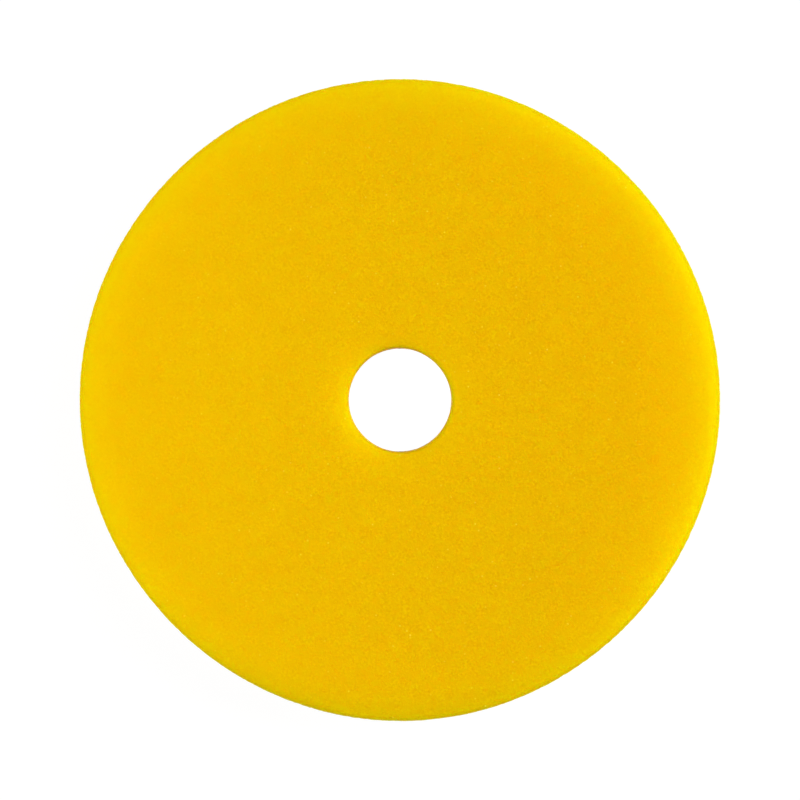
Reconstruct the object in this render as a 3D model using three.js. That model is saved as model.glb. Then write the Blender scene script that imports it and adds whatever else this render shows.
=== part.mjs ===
// A foam polishing pad for a dual-action car polisher: a yellow open-cell foam disc with a
// centre hole, and under it a disc of knitted loop cloth that grips a hook-faced plate.
//
// The pad lies on its loops with its working face up. Millimetres, +Z up. The origin is the
// centre of the hole on the underside of the loops. Five layers lie one on the other, and
// neighbouring layers share a plane, because each is bonded to the next over its whole face.

import * as THREE from "three";
import { mergeVertices } from "three/addons/utils/BufferGeometryUtils.js";

// Driving dimensions
const FACE_DIAMETER = 150; // the widest part of the foam, just under the rounded face edge
const BACK_DIAMETER = 140; // the foam's back, and the loop disc bonded to it
const HOLE_DIAMETER = 24.5; // one hole through every layer
const TOTAL_HEIGHT = 25;

const PILE_HEIGHT = 1.8; // standing loops
const GROUND_THICKNESS = 0.6; // the knit that the loops grow from
const COATING_THICKNESS = 0.2; // resin that locks the knit
const BOND_THICKNESS = 0.3; // hot-melt film between the resin and the foam

const FACE_EDGE_RADIUS = 1; // rounding between the face and the tapered side
const HOLE_LIP_RADIUS = 0.5; // rounding between the face and the hole
const BACK_EDGE_RADIUS = 0.8; // softened corner of the foam at the back
const CROWN_START_RADIUS = 54; // the face is flat inside this, and falls gently outside it
const CROWN_DROP = 0.5; // how far the face has fallen where the edge rounding starts
const BOND_INSET = 0.5; // the film stops this far inside the disc's edges

// Fineness of the faceted surfaces
const SEGMENTS = 96;
const CROWN_STEPS = 4;
const EDGE_STEPS = 5;
const LIP_STEPS = 3;

const FULL_TURN = 2 * Math.PI;
const HOLE_RADIUS = HOLE_DIAMETER / 2;
const FACE_RADIUS = FACE_DIAMETER / 2;
const BACK_RADIUS = BACK_DIAMETER / 2;

// Heights of the planes between the layers
const GROUND_BOTTOM = PILE_HEIGHT;
const COATING_BOTTOM = GROUND_BOTTOM + GROUND_THICKNESS;
const BOND_BOTTOM = COATING_BOTTOM + COATING_THICKNESS;
const FOAM_BOTTOM = BOND_BOTTOM + BOND_THICKNESS;

const material = (color, roughness) =>
  new THREE.MeshStandardMaterial({ color, roughness, metalness: 0 });

const foamYellow = material("#ecb803", 0.95);
const filmClear = material("#d9d3bd", 0.45);
const resinGrey = material("#b9bcbd", 0.6);
const knitGrey = material("#a3a7aa", 0.9);
const loopGrey = material("#b4b8ba", 0.92);

// Points along a round stretch of a profile, both ends included. Angles in radians, 0 along +r.
function arc(centreR, centreZ, radius, from, to, steps) {
  const points = [];
  for (let i = 0; i <= steps; i++) {
    const angle = from + ((to - from) * i) / steps;
    points.push(
      new THREE.Vector2(
        centreR + radius * Math.cos(angle),
        centreZ + radius * Math.sin(angle),
      ),
    );
  }
  return points;
}

// Turns a closed profile of (radius, height) points about +Z.
function turned(name, profile, look) {
  const geometry = new THREE.LatheGeometry([...profile, profile[0]], SEGMENTS, 0, FULL_TURN);
  geometry.rotateX(Math.PI / 2);
  geometry.deleteAttribute("normal");
  geometry.deleteAttribute("uv");
  const welded = mergeVertices(geometry, 1e-4);
  welded.computeVertexNormals();
  const mesh = new THREE.Mesh(welded, look);
  mesh.name = name;
  return mesh;
}

// A flat ring of one thickness, which every layer of the backing is.
function flatRing(name, bottom, thickness, inset, look) {
  const inner = HOLE_RADIUS + inset;
  const outer = BACK_RADIUS - inset;
  const top = bottom + thickness;
  const profile = [
    new THREE.Vector2(inner, bottom),
    new THREE.Vector2(outer, bottom),
    new THREE.Vector2(outer, top),
    new THREE.Vector2(inner, top),
  ];
  return turned(name, profile, look);
}

// The face falls from its flat middle along a parabola to the start of the edge rounding.
function crown(endRadius) {
  const points = [];
  for (let i = CROWN_STEPS; i > 0; i--) {
    const share = i / CROWN_STEPS;
    const radius = CROWN_START_RADIUS + (endRadius - CROWN_START_RADIUS) * share;
    points.push(new THREE.Vector2(radius, TOTAL_HEIGHT - CROWN_DROP * share * share));
  }
  return points;
}

// The foam body: a straight hole, a back that takes the loop disc, a side that leans out
// towards the face, a crisp face edge just broken by the cutter, and a face with a slight crown.
function foamPad() {
  const edgeCentreR = FACE_RADIUS - FACE_EDGE_RADIUS;
  const crownSlope = Math.atan((2 * CROWN_DROP) / (edgeCentreR - CROWN_START_RADIUS));
  const edgeStart = Math.PI / 2 - crownSlope; // where the rounding leaves the crown
  const edgeCentreZ = TOTAL_HEIGHT - CROWN_DROP - FACE_EDGE_RADIUS * Math.sin(edgeStart);
  const sideLean = Math.atan((FACE_RADIUS - BACK_RADIUS) / (edgeCentreZ - FOAM_BOTTOM));
  const crownEnd = edgeCentreR + FACE_EDGE_RADIUS * Math.cos(edgeStart);

  const backCentreR = BACK_RADIUS - BACK_EDGE_RADIUS;
  const backCentreZ = FOAM_BOTTOM + BACK_EDGE_RADIUS;
  const lipCentreR = HOLE_RADIUS + HOLE_LIP_RADIUS;
  const lipCentreZ = TOTAL_HEIGHT - HOLE_LIP_RADIUS;

  const backEdge = arc(
    backCentreR, backCentreZ, BACK_EDGE_RADIUS, -Math.PI / 2, -sideLean, 2);
  const faceEdge = arc(
    edgeCentreR, edgeCentreZ, FACE_EDGE_RADIUS, -sideLean, edgeStart, EDGE_STEPS);
  const holeLip = arc(
    lipCentreR, lipCentreZ, HOLE_LIP_RADIUS, Math.PI / 2, Math.PI, LIP_STEPS);

  const profile = [
    new THREE.Vector2(HOLE_RADIUS, FOAM_BOTTOM),
    ...backEdge,
    ...faceEdge,
    ...crown(crownEnd).slice(1),
    new THREE.Vector2(CROWN_START_RADIUS, TOTAL_HEIGHT),
    ...holeLip,
  ];
  return turned("foam_pad", profile, foamYellow);
}

// The hot-melt film that bonds the loop disc to the foam.
function bondFilm() {
  return flatRing("bond_film", BOND_BOTTOM, BOND_THICKNESS, BOND_INSET, filmClear);
}

// The resin coat on the back of the knit, which stops loops from being pulled out.
function loopCoating() {
  return flatRing("loop_coating", COATING_BOTTOM, COATING_THICKNESS, 0, resinGrey);
}

// The knitted ground of the loop cloth.
function loopGround() {
  return flatRing("loop_ground", GROUND_BOTTOM, GROUND_THICKNESS, 0, knitGrey);
}

// The layer that the standing loops fill, down to their tips.
function loopPile() {
  return flatRing("loop_pile", 0, PILE_HEIGHT, 0, loopGrey);
}

const polishingPad = new THREE.Group();
polishingPad.name = "polishing_pad";
polishingPad.add(foamPad(), bondFilm(), loopCoating(), loopGround(), loopPile());

export default polishingPad;
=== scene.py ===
import math
import random
from collections import namedtuple

import bpy
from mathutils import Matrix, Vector, noise

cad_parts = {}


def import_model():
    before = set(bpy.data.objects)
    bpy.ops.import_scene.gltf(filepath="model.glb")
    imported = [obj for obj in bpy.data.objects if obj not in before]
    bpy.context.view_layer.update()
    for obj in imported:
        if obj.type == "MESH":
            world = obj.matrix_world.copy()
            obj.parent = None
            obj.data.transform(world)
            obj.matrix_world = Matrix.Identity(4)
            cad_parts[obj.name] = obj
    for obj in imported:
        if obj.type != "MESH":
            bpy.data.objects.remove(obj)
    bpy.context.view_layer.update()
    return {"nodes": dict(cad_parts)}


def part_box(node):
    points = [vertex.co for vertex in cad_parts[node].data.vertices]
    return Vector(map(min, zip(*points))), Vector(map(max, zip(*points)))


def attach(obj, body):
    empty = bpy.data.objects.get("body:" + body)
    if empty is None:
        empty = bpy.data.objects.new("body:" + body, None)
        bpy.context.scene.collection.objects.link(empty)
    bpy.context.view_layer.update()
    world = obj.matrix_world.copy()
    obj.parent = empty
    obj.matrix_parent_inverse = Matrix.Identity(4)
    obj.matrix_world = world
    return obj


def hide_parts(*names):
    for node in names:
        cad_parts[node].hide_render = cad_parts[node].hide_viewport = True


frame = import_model()

MM = 0.001
TOUCHING = 0.01 * MM        # points closer than this count as being in one place

# The foam's outline, as the CAD solid has it
FACE_EDGE_RADIUS = 1.0 * MM
HOLE_LIP_RADIUS = 0.5 * MM
BACK_EDGE_RADIUS = 0.8 * MM
CROWN_START_RADIUS = 54 * MM
CROWN_DROP = 0.5 * MM

# How fine the foam's mesh is, and how rough its cut surface
FOAM_SPACING = 0.6 * MM
OUTLINE_SPACING = 0.87 * FOAM_SPACING       # rows this far apart make nearly even triangles
HIDDEN_SPACING = 4 * MM
SIDEWAYS_SHIFT = 0.22 * FOAM_SPACING        # breaks up the rows of the mesh
CELL_SIZE = 1.2 * MM
CELL_MOUTH = 0.6                            # from its middle to its wall, in cell sizes
CELL_DEPTH = 0.05 * MM
WALL_CELLS = 1.5                            # how much deeper the cells of the walls are
GRAIN_SIZE = 0.5 * MM
GRAIN_DEPTH = 0.025 * MM

# How the cutter wandered: each wave's height, how many of it go round the pad, and its turn
OUTLINE_WAVES = ((0.10 * MM, 2, 2.7), (0.035 * MM, 3, -2.8), (0.11 * MM, 4, 0.0))
HOLE_WAVES = ((0.06 * MM, 2, 2.7), (0.04 * MM, 4, -0.3))

# The loop cloth: a knit with ribs along Y, and a loop of yarn standing at every few stitches
GROUND_SPACING = 0.7 * MM
EDGE_SPACING = 0.35 * MM
WALE_PITCH = 1.3 * MM
COURSE_PITCH = 0.9 * MM
WALE_HEIGHT = 0.12 * MM
LOOP_PITCH = 1.25 * MM
RIM_BAND = 18 * MM          # the loops this close to the cut edge are drawn more finely
RIM_STEPS = 7
FIELD_STEPS = 6
YARN_RADIUS = 0.13 * MM
YARN_SIDES = 3
LOOP_ROOT = 0.08 * MM       # how deep a loop's feet sit in the knit
CUT_REACH = 0.62            # how much is left of a loop that the cutter has met
BULGE = 0.35                # how much wider a loop is on its way than at its feet
BEAD_SWING = 0.4 * MM       # how far the squeezed-out film wanders in and out
BEAD_DEPTH = 0.12 * MM      # how far its middle stands out past its edges

random.seed(7)


# ---------------------------------------------------------------- profiles and ring meshes

# Radius of the hole, of the outside at the base and of the widest point, and the lowest and
# highest point of a ring that is turned about +Z
Ring = namedtuple("Ring", "hole base widest low high")


def turned(node):
    """The sizes of a CAD node."""
    low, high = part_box(node)
    spots = [v.co for v in frame["nodes"][node].data.vertices]
    radii = [math.hypot(p.x, p.y) for p in spots]
    at_base = [r for r, p in zip(radii, spots) if p.z < low.z + TOUCHING]
    return Ring(min(radii), max(at_base), max(radii), low.z, high.z)


def arc(centre_r, centre_z, radius, start, end, steps):
    """Points along a round stretch of a profile, both ends included."""
    angles = [start + (end - start) * i / steps for i in range(steps + 1)]
    return [(centre_r + radius * math.cos(a), centre_z + radius * math.sin(a)) for a in angles]


def resampled(profile, spacing):
    """Points an equal step apart along a profile, both ends included."""
    lengths = [math.dist(a, b) for a, b in zip(profile, profile[1:])]
    total = sum(lengths)
    count = max(1, round(total / spacing))
    points = []
    piece, passed = 0, 0.0
    for i in range(count + 1):
        target = total * i / count
        while piece < len(lengths) - 1 and passed + lengths[piece] < target:
            passed += lengths[piece]
            piece += 1
        share = (target - passed) / lengths[piece] if lengths[piece] else 0.0
        (r0, z0), (r1, z1) = profile[piece], profile[piece + 1]
        points.append((r0 + (r1 - r0) * share, z0 + (z1 - z0) * share))
    return points


def ring_mesh(rows):
    """Vertices and triangles of a closed surface turned about +Z.

    rows is a list of (radius, height, spacing). Each row gets as many points as its spacing
    asks for, at a turn of its own, and neighbouring rows are joined by triangles.
    Rows run with the outside of the solid on their right, seen with the radius to the right
    and height up. Returns vertices, triangles and the row that each vertex is in."""
    rings, vertices, row_of = [], [], []
    for number, (radius, height, spacing) in enumerate(rows):
        count = max(12, round(2 * math.pi * radius / spacing))
        first = random.random()
        turns = [(i + first) / count for i in range(count)]
        rings.append((len(vertices), turns))
        for turn in turns:
            angle = 2 * math.pi * turn
            vertices.append((radius * math.cos(angle), radius * math.sin(angle), height))
            row_of.append(number)
    triangles = []
    for ring, following in zip(rings, rings[1:] + rings[:1]):
        join_rings(ring, following, triangles)
    return vertices, triangles, row_of


def join_rings(a, b, triangles):
    """Joins two rings of points, each (first index, turns in order), by a band of triangles."""
    (a0, turns_a), (b0, turns_b) = a, b
    count_a, count_b = len(turns_a), len(turns_b)
    i = j = 0
    while i < count_a or j < count_b:
        next_a = turns_a[(i + 1) % count_a] + (i + 1) // count_a
        next_b = turns_b[(j + 1) % count_b] + (j + 1) // count_b
        at_a, at_b = a0 + i % count_a, b0 + j % count_b
        if j >= count_b or (i < count_a and next_a <= next_b):
            triangles.append((at_a, a0 + (i + 1) % count_a, at_b))
            i += 1
        else:
            triangles.append((at_a, b0 + (j + 1) % count_b, at_b))
            j += 1


def new_object(name, vertices, faces, material):
    mesh = bpy.data.meshes.new(name)
    mesh.from_pydata(vertices, [], faces)
    mesh.validate()
    mesh.materials.append(material)
    mesh.shade_smooth()
    made = bpy.data.objects.new(name, mesh)
    bpy.context.scene.collection.objects.link(made)
    return made


# ---------------------------------------------------------------- shader helpers

class Value:
    """A number that a shader node gives out. Arithmetic with it adds the nodes that do it."""

    def __init__(self, nodes, socket):
        self.nodes = nodes
        self.socket = socket

    def __add__(self, other):
        return self.nodes.math("ADD", self, other)

    def __sub__(self, other):
        return self.nodes.math("SUBTRACT", self, other)

    def __rsub__(self, other):
        return self.nodes.math("SUBTRACT", other, self)

    def __mul__(self, other):
        return self.nodes.math("MULTIPLY", self, other)

    __radd__ = __add__
    __rmul__ = __mul__


class Nodes:
    """A node tree, with short calls for the nodes that this script uses."""

    def __init__(self, tree):
        self.tree = tree

    def add(self, kind, inputs=None, **settings):
        node = self.tree.nodes.new(kind)
        for name, value in settings.items():
            setattr(node, name, value)
        for name, value in (inputs or {}).items():
            self.put(node.inputs[name], value)
        return node

    def put(self, socket, value):
        """Sets a socket: a link where value is an output, and otherwise a plain value."""
        if isinstance(value, Value):
            value = value.socket
        if isinstance(value, bpy.types.NodeSocket):
            self.tree.links.new(value, socket)
        else:
            socket.default_value = value

    def axes(self, vector):
        parts = self.add("ShaderNodeSeparateXYZ", {"Vector": vector}).outputs
        return [Value(self, parts[axis]) for axis in "XYZ"]

    def math(self, operation, a, b=0.0, clamp=False):
        node = self.add("ShaderNodeMath", operation=operation, use_clamp=clamp)
        self.put(node.inputs[0], a)
        self.put(node.inputs[1], b)
        return Value(self, node.outputs[0])

    def ranged(self, value, low, high, to_low=0.0, to_high=1.0, smooth=False):
        """Maps value from low..high to to_low..to_high, and holds it at the ends."""
        node = self.add(
            "ShaderNodeMapRange",
            {"Value": value, "From Min": low, "From Max": high, "To Min": to_low,
             "To Max": to_high},
            interpolation_type="SMOOTHSTEP" if smooth else "LINEAR")
        return Value(self, node.outputs["Result"])

    def mixed(self, share, a, b, blend="MIX"):
        """Colour a, going to b as share goes from 0 to 1."""
        node = self.add("ShaderNodeMix", data_type="RGBA", blend_type=blend)
        self.put(node.inputs["Factor"], share)
        self.put(node.inputs[6], a)
        self.put(node.inputs[7], b)
        return node.outputs[2]


class Material(Nodes):
    """A material. place is the point that is shaded, with its coordinates x, y and z, and
    radius is its distance from the pad's axis."""

    def __init__(self, name):
        self.made = bpy.data.materials.new(name)
        self.made.use_nodes = True
        super().__init__(self.made.node_tree)
        self.shader = self.tree.nodes["Principled BSDF"]
        self.place = self.add("ShaderNodeTexCoord").outputs["Object"]
        self.x, self.y, self.z = self.axes(self.place)
        self.radius = self.math("SQRT", self.x * self.x + self.y * self.y)

    def surface(self, **inputs):
        for name, value in inputs.items():
            self.put(self.shader.inputs[name.replace("_", " ")], value)

    def noise(self, size, detail=2.0, roughness=0.5):
        """Soft noise whose blobs are about size metres across."""
        node = self.add(
            "ShaderNodeTexNoise",
            {"Vector": self.place, "Scale": 1 / size, "Detail": detail, "Roughness": roughness})
        return Value(self, node.outputs["Fac"])

    def spread(self, noise_value, low, high):
        """Noise, most of which lies between 0.3 and 0.7, spread over low..high."""
        return self.ranged(noise_value, 0.3, 0.7, low, high)

    def cells(self, size):
        """A pattern of cells about size metres across: the distance from the middle of the
        nearest one, and a number from 0 to 1 that each cell has of its own."""
        node = self.add("ShaderNodeTexVoronoi", {"Vector": self.place, "Scale": 1 / size})
        parts = self.add("ShaderNodeSeparateColor", {"Color": node.outputs["Color"]})
        return Value(self, node.outputs["Distance"]), Value(self, parts.outputs["Red"])

    def bump(self, height, depth, strength=1.0):
        node = self.add(
            "ShaderNodeBump", {"Height": height, "Distance": depth, "Strength": strength})
        return node.outputs["Normal"]


def linear(red, green, blue):
    """An sRGB colour, 0 to 255, as the linear colour that shaders take."""
    def channel(c):
        c /= 255
        return c / 12.92 if c <= 0.04045 else ((c + 0.055) / 1.055) ** 2.4
    return (channel(red), channel(green), channel(blue), 1.0)


# ---------------------------------------------------------------- the foam's material

foam_ring = turned("foam_pad")
hole_radius = foam_ring.hole
face_radius = foam_ring.widest
foam_bottom = foam_ring.low
foam_top = foam_ring.high
disc_radius = turned("loop_ground").widest

FACE_YELLOW = (0.848, 0.523, 0.0008, 1.0)       # in linear light, before the cells' shade
MEAN_SHADE = 1.018          # the cells' mean shade, which stays where they show less
PAINTED_GLINT_YELLOW = linear(255, 228, 70)
SHINE_TINT = (1.0, 0.72, 0.01, 1)

# Sizes of the patterns in the material
KNOT_SIZE = 0.55 * MM       # where struts meet
FINE_SIZE = 0.54 * MM
PATCH_SIZE = 2.5 * MM       # patches where the fine grain is weaker or stronger
CLOUD_SIZE = 7 * MM
PORE_SIZE = 0.9 * MM
FLAT_SIZE = 0.8 * MM        # cut struts that lie flat
CELL_RELIEF = 0.12 * MM

# Distances between which something starts and is full. From a cell's middle, in cell sizes:
KNOT_REACH = (0.35, 0.05)
PORE_REACH = (0.42, 0.1)
GLINT_REACH = (0.36, 0.12)
# Below the face:
FACE_DEPTHS = (1.8 * MM, 1.0 * MM)
WALL_DEPTHS = (1.5 * MM, 3.5 * MM)
# Inside the cut outline, or outside the cut hole:
NEAR_EDGE = (5.0 * MM, 1.8 * MM)
AT_CORNER = (1.9 * MM, 1.1 * MM)
EDGE_LINE = (1.15 * MM, 0.2 * MM)
LIP_LINE = (0.5 * MM, 0.0)
RED_LIP_LINE = (0.35 * MM, 0.0)
BESIDE_HOLE = (2.2 * MM, 0.4 * MM)
# From the pad's axis:
WEAK_GRAIN_RING = (54 * MM, 70.5 * MM)
WEAK_GRAIN_HOLE_RING = (17 * MM, 14.5 * MM)
RIM_RING = (62 * MM, 74.2 * MM)
RED_RIM_RING = (61 * MM, 68 * MM)

# Chances, from 0 to 1, between which a cell starts to be something and wholly is
OPEN_PORE = (0.3, 0.8)
FLAT_STRUT = (0.95, 1.0)

# How far light travels inside the foam, and the shares of that for red, green and blue
LIGHT_TRAVEL = 18 * MM
TRAVEL_SHARES = (0.45, 1.0, 0.3)


def open_pores(m, on_wall):
    """On the walls the knife has passed along the cells and opened some of them deeper."""
    distance, chance = m.cells(PORE_SIZE)
    return m.ranged(chance, *OPEN_PORE) * m.ranged(distance, *PORE_REACH) * on_wall


def grain_strength(m, on_face):
    """How strongly the cells show: less on the face's outer ring, near the hole and on the -X
    half, where the face is lit more fully; this weaker grain is painted light, standing in for
    the light flattening the grain there. Full strength on the walls."""
    least = m.ranged(m.y, -62 * MM, -5 * MM, 0.85, 0.45)
    outer_ring = m.ranged(m.radius, *WEAK_GRAIN_RING, 1.0, least)
    near_hole = m.ranged(m.radius, *WEAK_GRAIN_HOLE_RING, 1.0, 0.78)
    left_half = m.ranged(m.x, 0.0, -45 * MM, 1.0, 0.7)
    return (outer_ring * near_hole * left_half - 1.0) * on_face + 1.0


def cell_shade(m, knots, fine, pores, on_wall, strength):
    """Light and dark from the cells: paler knots, a fine grain that comes in patches and is
    stronger on the walls, pores painted dark, which is painted shade in their hollows, and
    broad faint clouds over them all."""
    patches = m.ranged(m.noise(PATCH_SIZE, detail=1.0), 0.35, 0.65, 0.4, 1.6)
    grain = m.ranged(fine, 0.25, 0.75, -0.075, 0.075) * patches
    # taking the pores off darkens their hollows: painted shade
    grain = grain * m.ranged(on_wall, 0, 1, 1, 1.8) - pores * 0.3
    shade = m.ranged(knots, 0, 1, 0.985, 1.13) + grain
    shade = (shade - MEAN_SHADE) * strength + MEAN_SHADE
    return shade * m.spread(m.noise(CLOUD_SIZE), 0.985, 1.015)


def inside_cut(m, radius, waves):
    """How far a point is inside a cut of that radius, with the cut's wander counted in."""
    angle = m.math("ARCTAN2", m.y, m.x)
    cut = radius
    for height, count, turn in waves:
        cut = m.math("COSINE", angle * count + turn) * height + cut
    return cut - m.radius


def outside_hole(m):
    return 0.0 - inside_cut(m, hole_radius, HOLE_WAVES)


def painted_edge_shade(m, on_face, edge_line):
    """Painted shade: 1 over most of the face, and less in the last millimetres before the side,
    in the line at the edge, more so on its +X side, and on the -X side of the hole's lip. The
    lip's +X side is painted paler than the face, painted light."""
    inwards = inside_cut(m, face_radius, OUTLINE_WAVES)
    near = m.ranged(inwards, *NEAR_EDGE, 0, 0.055)
    corner = m.ranged(inwards, *AT_CORNER, 0, 0.065)
    rim = edge_line * m.ranged(m.x, 0, face_radius, 0.26, 0.46)
    lip = m.ranged(outside_hole(m), *LIP_LINE)
    lip_end = 1.17 * hole_radius
    lip_depth = m.ranged(m.x + m.y * 0.6, -lip_end, lip_end, 0.27, -0.25)
    return 1.0 - (near + corner + (lip * lip_depth + rim)) * on_face


def red_share(m, on_face, edge_line):
    """How much red the foam has, shifted as painted light and shade: more towards +X, though
    less so on the outer ring. The line at the edge has more red on its -X side and less on its
    +X side, and the hole's lip has less."""
    towards_x = m.x + m.y * 0.3
    painted_warmth = m.ranged(towards_x, 18 * MM, 56 * MM, 1.0, 1.05)
    line = edge_line * (m.ranged(m.x - m.y * 0.3, -face_radius, 0, 0.21, 0)
                        + m.ranged(towards_x, 0, face_radius, 0, -0.29))
    lip = m.ranged(outside_hole(m), *RED_LIP_LINE, 0, -0.15)
    outer_ring = (m.ranged(m.x + m.y * 0.8, 10 * MM, 60 * MM, 0, -0.03)
                  * m.ranged(m.radius, *RED_RIM_RING))
    return painted_warmth + (line + lip + outer_ring) * on_face


def painted_side_shading(m, on_face):
    """Painted light and shade over the face: the rim is painted darker towards -Y and paler
    towards +X, and the hole's edge darker towards -X than towards +X."""
    outwards = m.ranged(m.radius, *RIM_RING)
    # painted shade: the rim darker towards -Y
    painted_shade_below = m.ranged(m.y, -42 * MM, -70 * MM, 0, 0.11) * (outwards * outwards)
    beside_hole = m.ranged(m.radius - hole_radius, *BESIDE_HOLE)
    across = m.ranged(m.x + m.y * 0.4, -hole_radius, hole_radius, -0.09, 0.09)
    paler = m.ranged(m.x, 54 * MM, 64 * MM, 0, 0.03)
    return (across * beside_hole + paler - painted_shade_below) * on_face + 1.0


def foam_colour(m, shade, on_face):
    """The face's yellow under a shade, with the painted light and shade of the edges and across
    the face laid on it.
    """
    edge_line = m.ranged(inside_cut(m, face_radius, OUTLINE_WAVES), *EDGE_LINE)
    # painted shade at the edges and on the hole's lip, and painted light on the lip's +X side
    shade = shade * painted_edge_shade(m, on_face, edge_line)
    red = m.ranged(shade, 0.5, 1.5, 0.77, 1.23) * red_share(m, on_face, edge_line)
    side_shading = painted_side_shading(m, on_face)
    tint = m.add("ShaderNodeCombineColor",
                 {"Red": red * side_shading, "Green": shade * side_shading, "Blue": shade})
    return m.mixed(1.0, FACE_YELLOW, tint.outputs["Color"], blend="MULTIPLY")


def foam_material():
    """Open-cell polyurethane foam: fine cells cut open, struts that catch the light, their
    glints partly painted into the colour, and light that travels some millimetres inside, so
    that edges turn lighter and more lemon."""
    m = Material("foam_cells")
    depth = foam_top - m.z
    on_face = m.ranged(depth, *FACE_DEPTHS)
    on_wall = m.ranged(depth, *WALL_DEPTHS)
    knots = m.ranged(m.cells(KNOT_SIZE)[0], *KNOT_REACH)
    fine = m.noise(FINE_SIZE, detail=0.0)
    pores = open_pores(m, on_wall)
    strength = grain_strength(m, on_face)
    colour = foam_colour(m, cell_shade(m, knots, fine, pores, on_wall, strength), on_face)

    # A few cut struts and cell membranes lie flat and glint: lower roughness there,
    # and a paler yellow base colour, which is a painted glint
    distance, chance = m.cells(FLAT_SIZE)
    glint = m.ranged(chance, *FLAT_STRUT) * m.ranged(distance, *GLINT_REACH) * strength

    relief = knots + fine * 0.8 - pores * 2.0
    m.surface(
        Base_Color=m.mixed(glint * 0.9, colour, PAINTED_GLINT_YELLOW),
        Roughness=m.ranged(glint, 0, 1, 0.9, 0.45),
        Specular_IOR_Level=0.2,
        Specular_Tint=SHINE_TINT,
        Subsurface_Weight=1.0,
        Subsurface_Scale=LIGHT_TRAVEL,
        Subsurface_Radius=TRAVEL_SHARES,
        Normal=m.bump(relief * strength, CELL_RELIEF, 0.6),
    )
    return m.made


# ---------------------------------------------------------------- the foam's shape

def foam_profile():
    """The foam's outline without its back: up the tapered side, over the rounded face edge,
    across the crowned face, over the hole's lip and down the hole. (radius, height) points."""
    edge_r = face_radius - FACE_EDGE_RADIUS
    slope = math.atan(2 * CROWN_DROP / (edge_r - CROWN_START_RADIUS))
    edge_start = math.pi / 2 - slope
    edge_z = foam_top - CROWN_DROP - FACE_EDGE_RADIUS * math.sin(edge_start)
    lean = math.atan((face_radius - disc_radius) / (edge_z - foam_bottom))

    back = arc(disc_radius - BACK_EDGE_RADIUS, foam_bottom + BACK_EDGE_RADIUS,
               BACK_EDGE_RADIUS, -math.pi / 2, -lean, 8)
    edge = arc(edge_r, edge_z, FACE_EDGE_RADIUS, -lean, edge_start, 40)
    lip = arc(hole_radius + HOLE_LIP_RADIUS, foam_top - HOLE_LIP_RADIUS,
              HOLE_LIP_RADIUS, math.pi / 2, math.pi, 20)
    return back + edge + crown(edge[-1][0]) + lip + [(hole_radius, foam_bottom)]


def crown(end, steps=20):
    """Points over the face's slight crown, from just inside the radius end inwards."""
    points = []
    for i in range(steps - 1, 0, -1):
        share = i / steps
        radius = CROWN_START_RADIUS + (end - CROWN_START_RADIUS) * share
        points.append((radius, foam_top - CROWN_DROP * share ** 2))
    return points


def profile_normals(points):
    """The outward normal, in (radius, height), at each point of a profile."""
    normals = []
    for i in range(len(points)):
        (r0, z0) = points[max(0, i - 1)]
        (r1, z1) = points[min(len(points) - 1, i + 1)]
        along_r, along_z = r1 - r0, z1 - z0
        length = math.hypot(along_r, along_z)
        normals.append((along_z / length, -along_r / length))
    return normals


def wander(waves, angle):
    """How far a cut edge stands in or out at an angle round the pad."""
    return sum(height * math.cos(count * angle + turn) for height, count, turn in waves)


def foam_relief(spot, steep):
    """How far the cut surface stands in or out at a spot: shallow cells, deeper on the steep
    walls, and a fine grain."""
    nearest = noise.voronoi(spot / CELL_SIZE)[0]
    wall = min(1.0, nearest[0] / CELL_MOUTH)
    grain = noise.noise(spot / GRAIN_SIZE)
    return CELL_DEPTH * (1 + WALL_CELLS * steep) * (wall - 1.0) + GRAIN_DEPTH * grain


def cut_surface(x, y, z, normal_r, normal_z):
    """A point of the smooth outline as the knife has left it, shifted a little along the
    surface, in or out by the cells, and with the outline's own wander."""
    angle = math.atan2(y, x)
    outward = Vector((math.cos(angle), math.sin(angle), 0))
    normal = Vector((outward.x * normal_r, outward.y * normal_r, normal_z))
    spot = Vector((x, y, z))
    sideways = Vector([random.uniform(-1, 1) for _ in range(3)]) * SIDEWAYS_SHIFT
    sideways -= normal * sideways.dot(normal)
    swing = wander(OUTLINE_WAVES if normal_r > 0 else HOLE_WAVES, angle) * abs(normal_r)
    return spot + sideways + normal * foam_relief(spot, abs(normal_r)) + outward * swing


def foam_pad():
    """The foam body: the cut outline with its relief, closed by a coarse hidden back."""
    outline = resampled(foam_profile(), OUTLINE_SPACING)
    normals = profile_normals(outline)
    rows = [(r, z, FOAM_SPACING) for r, z in outline]
    hidden = round((disc_radius - hole_radius) / HIDDEN_SPACING)
    for i in range(1, hidden):
        radius = hole_radius + (disc_radius - hole_radius) * i / hidden
        rows.append((radius, foam_bottom, HIDDEN_SPACING))
    vertices, triangles, row_of = ring_mesh(rows)

    moved = []
    for (x, y, z), row in zip(vertices, row_of):
        if row == len(outline) - 1:
            stretch = 1 + wander(HOLE_WAVES, math.atan2(y, x)) / hole_radius
            moved.append((x * stretch, y * stretch, z))
        elif row < len(outline) and z >= foam_bottom + TOUCHING:
            moved.append(cut_surface(x, y, z, *normals[row]))
        else:
            moved.append((x, y, z))
    return new_object("foam_body", moved, triangles, foam_material())


# ---------------------------------------------------------------- the loop cloth's materials

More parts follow.
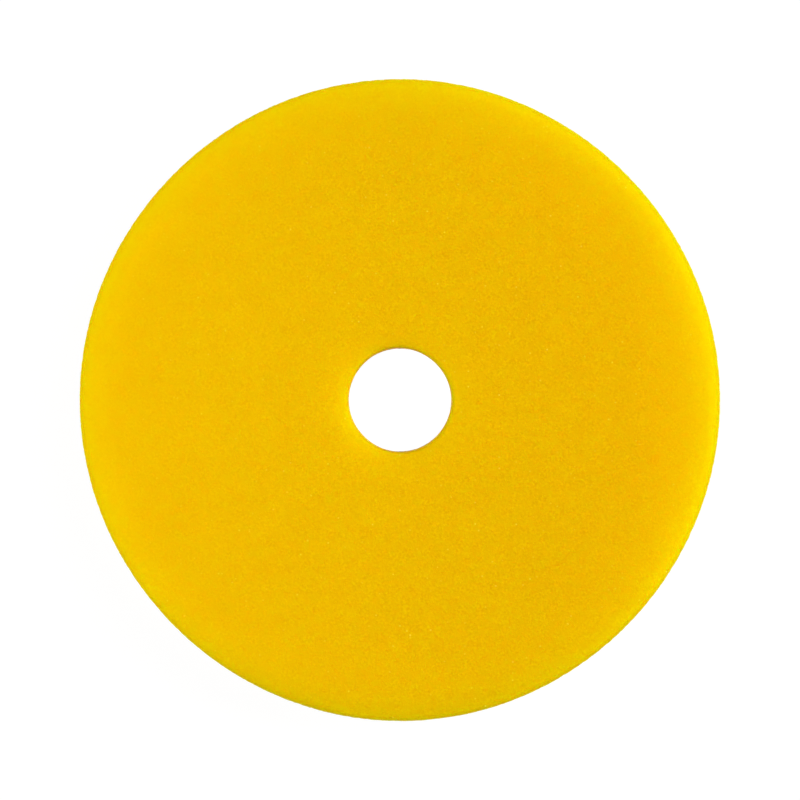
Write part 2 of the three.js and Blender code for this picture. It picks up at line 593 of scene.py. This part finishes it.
def knit_material():
    """Nylon knit: ribs along Y, a slanting stitch in each rib, and yarn that varies a little."""
    m = Material("nylon_knit")
    across = m.x * (2 * math.pi / WALE_PITCH)
    along = m.y * (2 * math.pi / COURSE_PITCH)
    rib = m.math("ABSOLUTE", m.math("SINE", across * 0.5))
    slant = m.math("ABSOLUTE", m.math("COSINE", across)) * 2.2
    stitch = m.math("SINE", along + slant)
    height = rib * 0.6 + m.ranged(stitch, -1, 1, 0, 0.4)
    fibres = m.noise(0.12 * MM, detail=3.0, roughness=0.7)
    broad = m.noise(9 * MM)
    # the colour follows the ribs' and stitches' height, darker in the low parts: painted shade;
    # the fibres and broad noise are the yarn's own
    shade = height * 0.6 + m.spread(fibres, 0, 0.3)
    shade = m.math("ADD", shade, m.spread(broad, -0.1, 0.1), clamp=True)
    m.surface(
        Base_Color=m.mixed(shade, linear(112, 116, 120), linear(186, 190, 193)),
        Roughness=m.spread(fibres, 0.95, 0.7),
        Sheen_Weight=0.3,
        Sheen_Roughness=0.4,
        Normal=m.bump(height + fibres * 0.3, 0.15 * MM, 0.8),
    )
    return m.made


def yarn_material():
    """The pile's textured nylon yarn: thin filaments bundled side by side, half translucent."""
    m = Material("pile_yarn")
    filaments = m.noise(0.05 * MM, roughness=0.7)
    loop_to_loop = m.noise(1.6 * MM, detail=1.0)
    broad = m.noise(12 * MM)
    shade = m.spread(filaments, 0, 0.5) + m.spread(loop_to_loop, 0, 0.35)
    shade = m.math("ADD", shade, m.spread(broad, 0, 0.15), clamp=True)
    m.surface(
        Base_Color=m.mixed(shade, linear(172, 175, 178), linear(224, 226, 227)),
        Roughness=m.spread(filaments, 0.8, 0.5),
        Subsurface_Weight=0.25,
        Subsurface_Scale=0.4 * MM,
        Subsurface_Radius=(1.0, 1.0, 1.0),
        Sheen_Weight=0.4,
        Sheen_Roughness=0.35,
        Normal=m.bump(filaments, 0.04 * MM, 0.7),
    )
    return m.made


def resin_material():
    """The acrylic back coat, brushed on thin: milky, with the knit's ribs just showing."""
    m = Material("resin_coat")
    rib = m.math("ABSOLUTE", m.math("SINE", m.x * (math.pi / WALE_PITCH)))
    runs = m.noise(2.2 * MM, detail=3.0)
    shade = rib * 0.4 + m.spread(runs, 0, 0.6)
    m.surface(
        Base_Color=m.mixed(shade, linear(168, 172, 172), linear(202, 205, 204)),
        Roughness=m.spread(runs, 0.45, 0.7),
        Subsurface_Weight=0.3,
        Subsurface_Scale=0.5 * MM,
        Subsurface_Radius=(1.0, 1.0, 0.9),
        Normal=m.bump(runs, 0.05 * MM, 0.5),
    )
    return m.made


def film_material():
    """Hot-melt adhesive: cloudy amber-white film with small bubbles and a soft gloss."""
    m = Material("hot_melt_film")
    cloud = m.noise(1.4 * MM, detail=3.0)
    bubbles = m.ranged(m.cells(0.6 * MM)[0], 0.0, 0.3)
    # the colour is darker in the bubbles' dimples: painted shade
    shade = m.spread(cloud, 0.4, 1.0) * m.ranged(bubbles, 0, 1, 0.6, 1)
    m.surface(
        Base_Color=m.mixed(shade, linear(186, 170, 120), linear(230, 222, 190)),
        Roughness=m.spread(cloud, 0.25, 0.45),
        Subsurface_Weight=0.6,
        Subsurface_Scale=1.0 * MM,
        Subsurface_Radius=(1.0, 0.8, 0.5),
        Normal=m.bump(bubbles, 0.05 * MM, 0.5),
    )
    return m.made


# ---------------------------------------------------------------- the loop cloth's shape

def slab(name, ring, spacing, walls, move, material):
    """A flat ring of the size of a CAD layer. Its underside takes a point every spacing and the
    cut edges one every EDGE_SPACING, on walls + 1 levels. The top face is hidden, and move
    gives each point its place."""
    inner, outer, low, high = ring.hole, ring.base, ring.low, ring.high
    across = round((outer - inner) / spacing)
    rows = [(inner + (outer - inner) * i / across, low, spacing) for i in range(across)]
    rows[0] = (inner, low, EDGE_SPACING)
    rows += [(outer, low + (high - low) * i / walls, EDGE_SPACING) for i in range(walls + 1)]
    hidden = round((outer - inner) / HIDDEN_SPACING)
    for i in range(1, hidden):
        rows.append((outer + (inner - outer) * i / hidden, high, HIDDEN_SPACING))
    rows += [(inner, high + (low - high) * i / walls, EDGE_SPACING) for i in range(walls)]
    vertices, triangles, _ = ring_mesh(rows)
    return new_object(name, [move(Vector(v)) for v in vertices], triangles, material)


def edge_moved(spot, ring, distance):
    """A point, moved out of the cloth by a distance if it is on one of the ring's cut edges."""
    radius = math.hypot(spot.x, spot.y)
    if ring.hole + TOUCHING <= radius <= ring.base - TOUCHING:
        return spot
    outward = 1 if radius > ring.base - TOUCHING else -1
    stretch = 1 + outward * distance / radius
    return Vector((spot.x * stretch, spot.y * stretch, spot.z))


def loop_ground():
    """The knit, with its ribs standing down between the loops and a frayed cut edge."""
    ring = turned("loop_ground")

    def knitted(spot):
        if spot.z < ring.low + TOUCHING:
            spot.z += WALE_HEIGHT * (1 - abs(math.sin(math.pi * spot.x / WALE_PITCH)))
        fray = noise.noise(spot / (0.6 * MM)) * 0.1 * MM - 0.06 * MM
        return edge_moved(spot, ring, fray)

    return slab("loop_knit", ring, GROUND_SPACING, 2, knitted, knit_material())


def loop_coating():
    """The resin coat, cut with the knit, its edge a little ragged."""
    ring = turned("loop_coating")

    def ragged(spot):
        swing = noise.noise(spot / (1.1 * MM)) * 0.06 * MM - 0.05 * MM
        return edge_moved(spot, ring, swing)

    return slab("loop_resin", ring, HIDDEN_SPACING, 2, ragged, resin_material())


def bond_film():
    """The hot-melt film, pressed out under the foam's softened corner in an uneven bead."""
    ring = turned("bond_film")
    middle = (ring.low + ring.high) / 2

    def squeezed(spot):
        level = (spot.z - middle) / (ring.high - middle)
        rounding = math.sqrt(max(0.0, 1 - level ** 2))
        wander = noise.noise(Vector((spot.x, spot.y, 0)) / (3.5 * MM))
        return edge_moved(spot, ring, wander * BEAD_SWING + BEAD_DEPTH * rounding)

    return slab("hot_melt", ring, HIDDEN_SPACING, 4, squeezed, film_material())


def yarn_tube(path, side, radius, vertices, faces):
    """Adds a closed tube along a path that lies in the plane square to side."""
    sides = YARN_SIDES
    first = len(vertices)
    for i, spot in enumerate(path):
        along = (path[min(i + 1, len(path) - 1)] - path[max(i - 1, 0)]).normalized()
        across = along.cross(side).normalized()
        for k in range(sides):
            turn = 2 * math.pi * k / sides
            vertices.append(spot + (side * math.cos(turn) + across * math.sin(turn)) * radius)
    for i in range(len(path) - 1):
        ring = first + i * sides
        for k in range(sides):
            after = (k + 1) % sides
            faces.append((ring + k, ring + after, ring + sides + after, ring + sides + k))
    last = first + (len(path) - 1) * sides
    faces.append(tuple(first + k for k in reversed(range(sides))))
    faces.append(tuple(last + k for k in range(sides)))


def loop_path(foot, towards, width, depth, lean, steps, cut):
    """A loop hanging from the knit at foot: out, round and back, a little wider low down.
    A cut loop ends on its way round."""
    path = []
    reach = CUT_REACH if cut else 1.0
    for i in range(steps + 1):
        t = reach * i / steps
        down = math.sin(math.pi * t) ** 0.75 if 0 < t < 1 else 0.0
        spread = math.cos(math.pi * t) * (1 + BULGE * math.sin(math.pi * t))
        spot = foot + towards * (spread * width / 2) + lean * down ** 1.5
        spot.z = foot.z - depth * down
        path.append(spot)
    return path


def held_inside(spot, edge):
    """Keeps a point of a loop between the hole and the disc's edge, where the cutter passed."""
    radius = math.hypot(spot.x, spot.y)
    kept = min(max(radius, hole_radius + YARN_RADIUS), edge - YARN_RADIUS * 0.5)
    return Vector((spot.x * kept / radius, spot.y * kept / radius, spot.z))


def loops(name, inner, outer, steps, material):
    """Standing loops over a ring of the knit, one to each pitch, each turned its own way."""
    pile = turned("loop_pile")
    edge = pile.base
    root = pile.high + LOOP_ROOT
    vertices, faces = [], []
    across = math.ceil(outer / LOOP_PITCH)
    for row in range(-across, across + 1):
        for column in range(-across, across + 1):
            x = (row + random.uniform(-0.3, 0.3)) * LOOP_PITCH
            y = (column + 0.5 * (row % 2) + random.uniform(-0.3, 0.3)) * LOOP_PITCH
            turn = random.gauss(0.4, 0.9)
            width = random.uniform(0.75, 1.15) * MM
            share = random.uniform(0.84, 1.0)
            lean = Vector((random.gauss(0.12, 0.2), random.gauss(0.25, 0.2), 0)) * MM
            radius = math.hypot(x, y)
            if not inner <= radius < outer:
                continue
            towards = Vector((math.cos(turn), math.sin(turn), 0))
            side = Vector((-towards.y, towards.x, 0))
            drop = share * (pile.high - pile.low) - YARN_RADIUS + LOOP_ROOT
            near_edge = min(edge - radius, radius - hole_radius)
            if near_edge < width / 2:
                lean *= 0.4
            cut = near_edge < 0.3 * MM
            path = loop_path(Vector((x, y, root)), towards, width, drop, lean, steps, cut)
            path = [held_inside(p, edge) for p in path]
            yarn_tube(path, side, YARN_RADIUS * random.uniform(0.9, 1.15), vertices, faces)
    return new_object(name, vertices, faces, material)


# ---------------------------------------------------------------- the pieces

def declare(piece, node):
    """Hangs a piece on the root body, hides the CAD node that it stands for and prints how many
    faces it has.
    """
    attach(piece, "root")
    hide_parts(node)
    print(piece.name, len(piece.data.polygons), "faces")


foam = foam_pad()
declare(foam, "foam_pad")

knit = loop_ground()
declare(knit, "loop_ground")

declare(loop_coating(), "loop_coating")
declare(bond_film(), "bond_film")

yarn = yarn_material()
band_start = disc_radius - RIM_BAND
rim_loops = loops("pile_rim", band_start, disc_radius, RIM_STEPS, yarn)
declare(rim_loops, "loop_pile")
field_loops = loops("pile_field", hole_radius, band_start, FIELD_STEPS, yarn)
declare(field_loops, "loop_pile")


# ---------------------------------------------------------------- studio

TABLE_SIDE = 40.0
TABLE_GLOW = 0.97           # white in the picture
# painted shadow: the board's glow under the pad
SHADED_GLOW = 0.3           # under the pad
WHITE = (1, 1, 1, 1)

HORIZON = (0.058, 0.07)     # sines of the angles between which the sky goes from white to dim
SKY_GLOW = 0.1

CAMERA_DISTANCE = 1.0       # from the level of the pad's outline
OUTLINE_DEPTH = 3 * MM      # how far that level is under the face
VIEW_WIDTH = 187.6 * MM     # what the picture spans there
SENSOR_WIDTH = 36           # millimetres, as Blender takes it


def floor():
    """A white board that glows by its own emission, evenly outside the pad. Under the pad its
    glow drops, a painted shadow, and inside the hole it rises a little, painted light.
    """
    m = Material("table_white")
    under = m.ranged(m.radius, face_radius + 1.5 * MM, disc_radius - 3 * MM, smooth=True)
    beside_hole = m.ranged(m.radius, hole_radius, hole_radius + 3 * MM, smooth=True)
    # a little more glow inside the hole: painted light
    in_hole = m.ranged(m.radius, hole_radius + 1 * MM, hole_radius, 0, 0.04)
    glow = m.ranged(under * beside_hole, 0, 1, TABLE_GLOW, SHADED_GLOW) + in_hole
    m.surface(Base_Color=(0.06, 0.06, 0.06, 1), Roughness=0.9, Specular_IOR_Level=0.0,
              Emission_Color=WHITE, Emission_Strength=glow)
    bpy.ops.mesh.primitive_plane_add(size=TABLE_SIDE)
    made = bpy.context.object
    made.name = "table"
    made.data.materials.append(m.made)


def add_light(data, azimuth, elevation, distance=0.0):
    """Puts a light up so that it shines on the pad. Azimuth 0 is from +X and 90 from +Y."""
    light = bpy.data.objects.new(data.name, data)
    a, e = math.radians(azimuth), math.radians(elevation)
    towards = Vector((math.cos(a) * math.cos(e), math.sin(a) * math.cos(e), math.sin(e)))
    light.location = towards * distance
    light.rotation_mode = "QUATERNION"
    light.rotation_quaternion = towards.to_track_quat("Z", "Y")
    bpy.context.scene.collection.objects.link(light)
    return light


def panel(name, strength, azimuth, elevation, distance, side):
    """A square light facing the pad, as strong there as a sun of the same strength."""
    data = bpy.data.lights.new(name, "AREA")
    data.energy = strength * math.pi * distance ** 2
    data.size = side
    add_light(data, azimuth, elevation, distance).visible_camera = False


def sun(name, strength, azimuth, elevation, spread):
    """A soft parallel light, whose spread is in degrees."""
    data = bpy.data.lights.new(name, "SUN")
    data.energy = strength
    data.angle = math.radians(spread)
    add_light(data, azimuth, elevation)


def world():
    """White round the horizon, where the pad's side looks, and dim above it."""
    made = bpy.data.worlds.new("studio")
    bpy.context.scene.world = made
    made.use_nodes = True
    n = Nodes(made.node_tree)
    height = n.axes(n.add("ShaderNodeTexCoord").outputs["Generated"])[2]
    back = made.node_tree.nodes["Background"]
    n.put(back.inputs["Strength"], n.ranged(height, *HORIZON, 1.0, SKY_GLOW))
    n.put(back.inputs["Color"], WHITE)


def camera():
    """Straight above the pad."""
    data = bpy.data.cameras.new("camera")
    data.sensor_width = SENSOR_WIDTH
    data.lens = SENSOR_WIDTH * CAMERA_DISTANCE / VIEW_WIDTH
    made = bpy.data.objects.new("camera", data)
    made.location = (0, 0, foam_top - OUTLINE_DEPTH + CAMERA_DISTANCE)
    bpy.context.scene.collection.objects.link(made)
    bpy.context.scene.camera = made


floor()
world()
sun("key", strength=2.48, azimuth=12, elevation=39.5, spread=25)
sun("top", strength=0.86, azimuth=40, elevation=60, spread=25)
panel("left", strength=0.92, azimuth=180, elevation=42, distance=0.55, side=0.25)
camera()
bpy.context.scene.view_settings.view_transform = "Standard"
